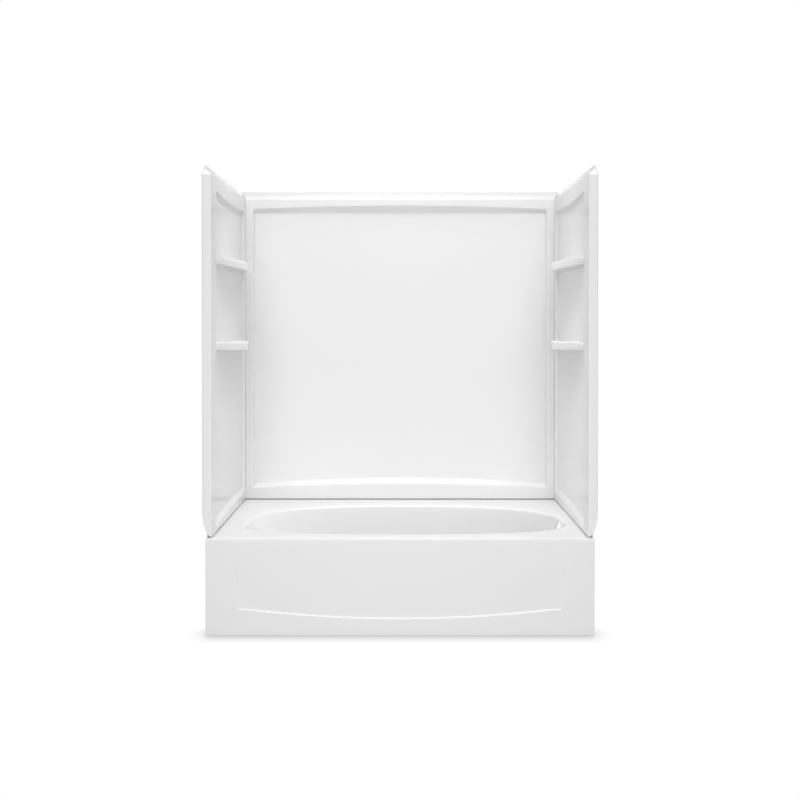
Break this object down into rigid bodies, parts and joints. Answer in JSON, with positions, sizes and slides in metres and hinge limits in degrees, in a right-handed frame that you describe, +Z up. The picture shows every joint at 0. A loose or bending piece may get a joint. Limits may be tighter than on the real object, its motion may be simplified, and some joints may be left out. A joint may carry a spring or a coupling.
{
  "type": "tub and shower unit",
  "caption": "Alcove bath with an oval basin and relief apron, under a moulded three-panel wall surround with bowed shelves on both end panels",
  "frame": {"origin": "on the floor, in the middle of the unit's length and depth", "axes": "+Z up, +X towards the drain end, +Y towards the back wall"},
  "size_m": [1.548, 0.762, 1.848],
  "materials": {
    "bath": "gloss",
    "surround": "gloss",
    "seal": "matte",
    "clip": "satin",
    "board": "matte",
    "pad": "matte",
    "timber": "matte"
  },
  "bodies": {
    "root": {"bath_shell": "bath", "back_wall": "surround", "left_end_wall": "surround", "right_end_wall": "surround", "left_seal": "seal", "right_seal": "seal", "back_seal": "seal", "left_corner_clip_1": "clip", "left_corner_clip_2": "clip", "left_corner_clip_3": "clip", "left_corner_clip_4": "clip", "left_foot_clip_1": "clip", "left_foot_clip_2": "clip", "right_corner_clip_1": "clip", "right_corner_clip_2": "clip", "right_corner_clip_3": "clip", "right_corner_clip_4": "clip", "right_foot_clip_1": "clip", "right_foot_clip_2": "clip", "back_foot_clip_1": "clip", "back_foot_clip_2": "clip", "back_foot_clip_3": "clip", "basin_base_board": "board", "support_pad_1": "pad", "support_pad_2": "pad", "support_pad_3": "pad", "apron_rail": "timber", "apron_post_left": "timber", "apron_post_right": "timber"}
  },
  "joints": []
}
